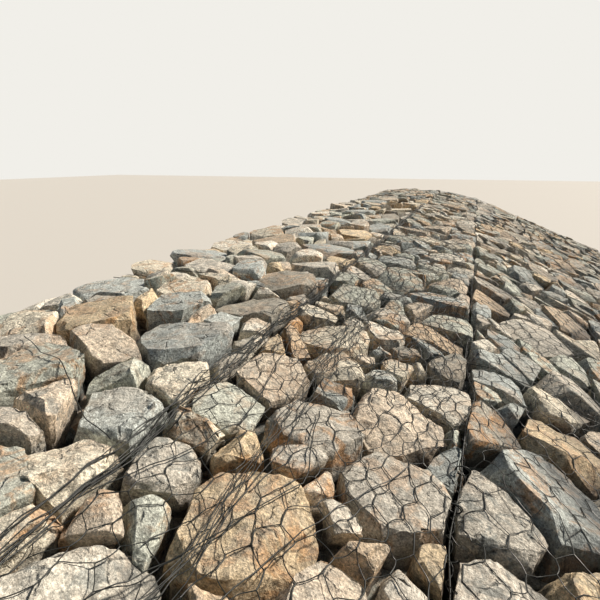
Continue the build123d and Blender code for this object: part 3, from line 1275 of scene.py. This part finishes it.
def draped_path(start, end, sway, course, lift, step=LOOSE_STEP):
    """A wire laid over the stones from one place to another, swaying to the sides on its way."""
    run = Vector(end) - Vector(start)
    side = Vector((-run.y, run.x)).normalized()
    count = max(2, round(run.length / step))
    path = []
    for k in range(count + 1):
        share = k / count
        free = min(1.0, share * SWAY_SOON, (1 - share) * SWAY_SOON)
        slow, rise = wander(share * run.length, course * SLOW_COURSE, SLOW_BEND[0], course)
        quick, _ = wander(share * run.length, course * QUICK_COURSE, QUICK_BEND[0], course + QUICK_NEXT)
        swayed = side * sway * free * (slow * SLOW_BEND[1] + quick * QUICK_BEND[1])
        place = Vector(start) + run * share + swayed
        height = max(Wall.drape.height(place.x, place.y) + lift,
                     Wall.drape.resting(place.x, place.y) + LEAST_REST)
        path.append(Vector((place.x, place.y, height + abs(rise) * sway * SWAY_LIFT)))
    return path


def seam_path(row, near, far, side):
    """An edge wire along a row's seam, drawn down between the stones."""
    x = row.left if side < 0 else row.right
    sag = OPEN_SAG if row is Wall.rows[0] and side < 0 else EDGE_SAG
    count = max(2, round((far - near) / SEAM_STEP))
    path = []
    for k in range(count + 1):
        y = near + (far - near) * k / count
        sway, rise = wander(x, y, SEAM_BEND[0], SEAM_COURSE)
        moved_x = x + sway * SEAM_BEND[1] + seam_sway(x, y)
        height = min(Wall.drape.height(moved_x, y), row.chord(x) + SEAM_RISE) - sag + rise * SEAM_BEND[1]
        path.append(Vector((moved_x, y, height)))
    return path


def square_to(ahead):
    """Two directions square to the given one and to each other."""
    side = ahead.cross(UP).normalized()
    return side, side.cross(ahead)


def coil_path(path):
    """A lacing wire wound round a path."""
    coiled = []
    travelled = 0.0
    for before, after in zip(path, path[1:]):
        run = after - before
        side, over = square_to(run.normalized())
        count = max(1, round(run.length / LACING_PITCH * LACING_POINTS))
        for k in range(count):
            turned = (travelled + run.length * k / count) / LACING_PITCH * tau
            off = (side * cos(turned) + over * sin(turned)) * LACING_RADIUS
            coiled.append(before + run * (k / count) + off)
        travelled += run.length
    return coiled


def wire_seams(row, number, work, lacing):
    """Run the edge wires along a row's seams and across it between its bays, and lace the seams in view."""
    last = row is Wall.rows[-1]
    for near, far in row.spans:
        for side in ((-1, 1) if last else (-1,)):
            path = seam_path(row, near - WIRE_MARGIN, far + WIRE_MARGIN, side)
            work.run(path)
            if side < 0 and number in LACED_ROWS:
                lacing.run(coil_path(path))
    for near, _ in row.spans[1:]:
        y = near - WIRE_MARGIN
        work.run(draped_path((row.left, y), (row.right, y), CROSS_SWAY, number, CROSS_LIFT))


def wire_ends(row, depth, work):
    """Run a row's upright and level edge wires over both ends of the wall."""
    low, high = CAD_BOX
    sides = (row.left, row.right)
    for y in (low.y + WIRE_MARGIN, high.y - WIRE_MARGIN):
        for side in (sides if row is Wall.rows[-1] else sides[:1]):
            x = min(max(side, low.x + WIRE_MARGIN), high.x - WIRE_MARGIN)
            work.run([Vector((x, y, WIRE_MARGIN)), Vector((x, y, row.chord(side) - WIRE_MARGIN))])
        below = 0.0
        while below < row.left_height:
            work.run([Vector((x, y, max(WIRE_MARGIN, row.chord(x) - below - WIRE_MARGIN))) for x in sides])
            below += depth
        work.run([Vector((x, y, WIRE_MARGIN)) for x in sides])


def wire_face(row, depth, work):
    """Run the upright and level edge wires over the back, at the first row, or over the toe, at the last."""
    low, high = CAD_BOX
    first = row is Wall.rows[0]
    x = low.x + WIRE_MARGIN if first else high.x - WIRE_MARGIN
    height = row.left_height if first else row.right_height
    levels = [height - depth * k - WIRE_MARGIN for k in range(1, int(height / depth) + 1)]
    for z in (WIRE_MARGIN, *levels):
        if z >= WIRE_MARGIN:
            work.run([Vector((x, low.y + WIRE_MARGIN, z)), Vector((x, high.y - WIRE_MARGIN, z))])
    for near, _ in row.spans[1:]:
        y = near - WIRE_MARGIN
        work.run([Vector((x, y, WIRE_MARGIN)), Vector((x, y, height - WIRE_MARGIN))])


class GABION_OT_edges(bpy.types.Operator):
    """Frame the baskets with edge wires and lace the main seam"""

    bl_idname = "gabion.edges"
    bl_label = "Edge wires"

    def execute(self, context):
        net = context.scene.gabion_net
        lacing = WireWork()
        for number, row in enumerate(Wall.rows):
            work = WireWork()
            wire_seams(row, number, work, lacing)
            wire_ends(row, net.basket_depth, work)
            if row in (Wall.rows[0], Wall.rows[-1]):
                wire_face(row, net.basket_depth, work)
            work.piece(row.name + "_edge_wires", net.edge_wire, 5, "edge_wire", [row.name + "_basket_wires"])
        lacing.piece("seam_lacing", net.wire * LACING_WIRE, 3, "edge_wire")
        return {"FINISHED"}


def lid_edge(net, start, end, rng):
    """The lid's free edge: a bundle of wires along the heaped bays that turns off across the open row."""
    row = Wall.rows[0]
    edge = WireWork()
    for strand in range(BUNDLE_STRANDS):
        shift = rng.uniform(-EDGE_SPREAD, EDGE_SPREAD)
        edge.run(draped_path((row.right + shift * NEAR_SPREAD, start), (row.right + shift, end),
                             EDGE_SWAY, strand + EDGE_COURSE, rng.uniform(*EDGE_LIFT)))
        shift = rng.uniform(-TURNED_SPREAD, TURNED_SPREAD)
        edge.run(draped_path((row.right, end + shift), (row.left, end + shift),
                             TURNED_SWAY, strand + TURNED_COURSE, rng.uniform(*TURNED_LIFT)))
    edge.piece("lid_edge", net.edge_wire * BUNDLE_WIRE, 4, "edge_wire", ["lid_edge_bundle"])


def lid_fold(net, start, rng):
    """The wires that lie bunched in the fold beside the free edge."""
    x = Wall.rows[0].right + FOLD_OFFSET
    fold = WireWork()
    for strand in range(FOLD_STRANDS):
        shift = rng.uniform(-FOLD_SPREAD, FOLD_SPREAD)
        reach = FOLD_LENGTH * rng.uniform(*FOLD_REACH)
        fold.run(draped_path((x + shift, start), (x + shift * 2, start + reach),
                             FOLD_SWAY, strand + FOLD_COURSE, rng.uniform(*FOLD_LIFT)))
    fold.piece("lid_fold", net.wire, 4, "net_wire")


def loose_ends(net, eye):
    """The loose wires over the open row, and the lacing rings on the main seam."""
    loose = WireWork()
    for route in LOOSE_ROUTES:
        places = [(eye.x + right, eye.y + ahead) for right, ahead in route]
        for first, second in zip(places, places[1:]):
            loose.run(draped_path(first, second, LOOSE_SWAY, len(loose.points), LOOSE_LIFT, LOOSE_FINE_STEP))
    seam = Wall.rows[1].right
    for ahead in RING_PLACES:
        y = eye.y + ahead
        x = seam + seam_sway(seam, y)
        centre = Vector((x, y, Wall.drape.height(x, y) + RING_LIFT))
        for radius, lean in zip(RING_RADII, RING_LEANS):
            side, over = square_to(lean.normalized())
            turns = [k * tau / RING_POINTS for k in range(RING_POINTS + 1)]
            loose.run([centre + (side * cos(turn) + over * sin(turn)) * radius for turn in turns])
    loose.piece("loose_wires", net.edge_wire * BUNDLE_WIRE, 4, "edge_wire")


class GABION_OT_loose_wires(bpy.types.Operator):
    """Bundle the lid's free edge, bunch the fold beside it and leave the loose ends and rings"""

    bl_idname = "gabion.loose_wires"
    bl_label = "Lid edge, fold and loose wires"

    def execute(self, context):
        net = context.scene.gabion_net
        row = Wall.rows[0]
        start = row.spans[0][0]
        end = max(far for (_, far), crown in zip(row.spans, row.crowns) if crown > HEAP_LEAST)
        rng = Random(net.seed)
        lid_edge(net, start, end, rng)
        lid_fold(net, start, rng)
        loose_ends(net, eye_place(context.scene.gabion_stage))
        return {"FINISHED"}


# Stage

# How far the floor reaches to each side, in metres
FLOOR_REACH = 60.0

# The way that the key lamp shines, and the width of its disc
KEY_WAY = Vector((-0.66, -0.62, -0.70))
KEY_WIDTH = radians(7)

# The width of the camera's frame in millimetres, and the nearest distance that it shows
FRAME_WIDTH = 36
NEAREST_SHOWN = 50 * MM


def turned_along(way):
    """The turn of a lamp or a camera that looks along the given way."""
    return way.to_track_quat("-Z", "Y").to_euler()


def lay_floor(scene, stage):
    """A floor in matt paint, so that nothing is mirrored in it."""
    mesh = bpy.data.meshes.new("floor")
    reach = FLOOR_REACH
    mesh.from_pydata([(-reach, -reach, 0), (reach, -reach, 0), (reach, reach, 0), (-reach, reach, 0)],
                     [], [(0, 1, 2, 3)])
    floor = bpy.data.objects.new("floor", mesh)
    scene.collection.objects.link(floor)
    mesh.materials.append(new_material("matt_studio_floor", {"Base Color": stage.floor, "Roughness": 0.9})[0])


def light_sky(scene, stage):
    """A sky that lights the wall in one colour and shows another behind it."""
    world = bpy.data.worlds.new("studio")
    scene.world = world
    world.use_nodes = True
    tree = world.node_tree
    tree.nodes.clear()
    rays = add_node(tree, "ShaderNodeLightPath").outputs
    seen = rays["Is Camera Ray"]
    for kind in ("Is Glossy Ray", "Is Transmission Ray"):
        seen = add_node(tree, MATH, {0: seen, 1: rays[kind]}, operation="MAXIMUM")
    fill = add_node(tree, BACKGROUND, {"Color": stage.fill, "Strength": stage.fill_strength})
    backdrop = add_node(tree, BACKGROUND, {"Color": stage.backdrop, "Strength": 1.0})
    mix = add_node(tree, "ShaderNodeMixShader", {"Fac": seen, 1: fill, 2: backdrop})
    add_node(tree, "ShaderNodeOutputWorld", {"Surface": mix})


def hang_key(scene, stage):
    """The key lamp, as broad and as warm as a hazy sun."""
    lamp = bpy.data.lights.new("key", "SUN")
    lamp.energy = stage.key_strength
    lamp.angle = KEY_WIDTH
    lamp.color = stage.key
    sun = bpy.data.objects.new("key", lamp)
    scene.collection.objects.link(sun)
    sun.rotation_euler = turned_along(KEY_WAY)


def set_camera(scene, stage):
    """The camera, above the main seam and before the near end."""
    lens = bpy.data.cameras.new("camera")
    lens.lens = stage.lens
    lens.sensor_width = FRAME_WIDTH
    lens.clip_start = NEAREST_SHOWN
    camera = bpy.data.objects.new("camera", lens)
    scene.collection.objects.link(camera)
    camera.location = eye_place(stage)
    level = cos(stage.dip)
    look = Vector((-sin(stage.heading) * level, cos(stage.heading) * level, -sin(stage.dip)))
    camera.rotation_euler = turned_along(look)
    scene.camera = camera


class GABION_OT_stage(bpy.types.Operator):
    """Set up the floor, the lamps and the camera"""

    bl_idname = "gabion.stage"
    bl_label = "Stage"

    def execute(self, context):
        scene = context.scene
        scene.view_settings.view_transform = "Standard"
        for step in (lay_floor, light_sky, hang_key, set_camera):
            step(scene, scene.gabion_stage)
        return {"FINISHED"}


SETTINGS = {"gabion_stones": StoneSettings, "gabion_net": NetSettings, "gabion_stage": StageSettings}
OPERATORS = (GABION_OT_stones, GABION_OT_lids, GABION_OT_face_nets, GABION_OT_edges, GABION_OT_loose_wires,
             GABION_OT_stage)


class GABION_PT_panel(bpy.types.Panel):
    """Lists the wall's pieces and sizes in the sidebar"""

    bl_idname = "GABION_PT_panel"
    bl_label = "Gabion revetment"
    bl_space_type = "VIEW_3D"
    bl_region_type = "UI"
    bl_category = "Gabion"

    def draw(self, context):
        """Show each group of sizes and colours in a box, and a button for each operator."""
        for name in SETTINGS:
            group = getattr(context.scene, name)
            box = self.layout.box()
            for size in group.bl_rna.properties.keys():
                if size not in {"rna_type", "name"}:
                    box.prop(group, size)
        for operator in OPERATORS:
            self.layout.operator(operator.bl_idname)


CLASSES = (*SETTINGS.values(), *OPERATORS, GABION_PT_panel)


def register():
    """Register the classes and give the scene its groups of sizes and colours."""
    for item in CLASSES:
        bpy.utils.register_class(item)
    for name, group in SETTINGS.items():
        setattr(bpy.types.Scene, name, PointerProperty(type=group))


def unregister():
    """Take the groups and the classes away again."""
    for name in SETTINGS:
        delattr(bpy.types.Scene, name)
    for item in reversed(CLASSES):
        bpy.utils.unregister_class(item)


def main():
    """Make the wall and its stage."""
    register()
    Wall.rows = [Row(name) for name in ROW_NAMES]
    Materials.stone = stone_material(bpy.context.scene.gabion_stones)
    Materials.wire = wire_material(bpy.context.scene.gabion_net)
    bpy.ops.gabion.stones()
    bpy.ops.gabion.lids()
    bpy.ops.gabion.face_nets()
    bpy.ops.gabion.edges()
    bpy.ops.gabion.loose_wires()
    bpy.ops.gabion.stage()


if __name__ == "__main__":
    main()
